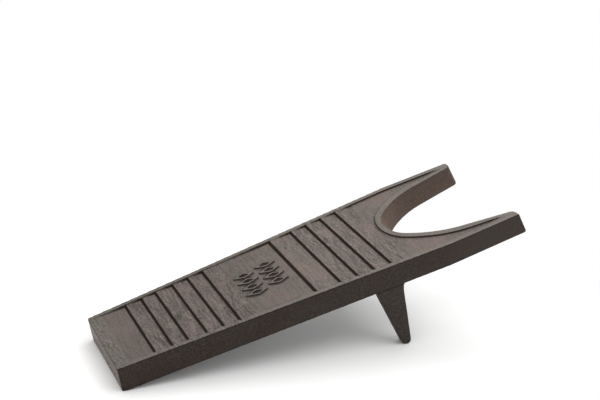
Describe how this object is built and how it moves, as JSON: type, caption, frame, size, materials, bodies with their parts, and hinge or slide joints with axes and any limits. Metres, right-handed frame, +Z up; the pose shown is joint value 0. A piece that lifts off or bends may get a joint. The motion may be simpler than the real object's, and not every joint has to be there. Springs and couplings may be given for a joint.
{
  "type": "boot jack",
  "caption": "Cast iron boot jack: a sloping deck with stepped grip slabs, a raised rim and a U-shaped heel mouth, resting on its low end and on a pair of bolted legs",
  "frame": {"origin": "on the floor, under the middle of the bounding box", "axes": "+X runs along the jack from its low end to its fork, +Y points to its left side, +Z is up"},
  "size_m": [0.2945, 0.0842, 0.0986],
  "materials": {
    "deck_iron": "brown antique finish over sand-cast grain, matte, paler and more worn on the slabs and rim",
    "leg_iron": "dark brown antique finish over sand-cast grain, matte",
    "screw_steel": "black oxide, slightly worn on the edges",
    "washer_steel": "dark spring steel"
  },
  "bodies": {
    "root": {"deck": "deck_iron", "left_leg": "leg_iron", "right_leg": "leg_iron", "leg_screws": "screw_steel", "spring_washers": "washer_steel"}
  },
  "joints": []
}
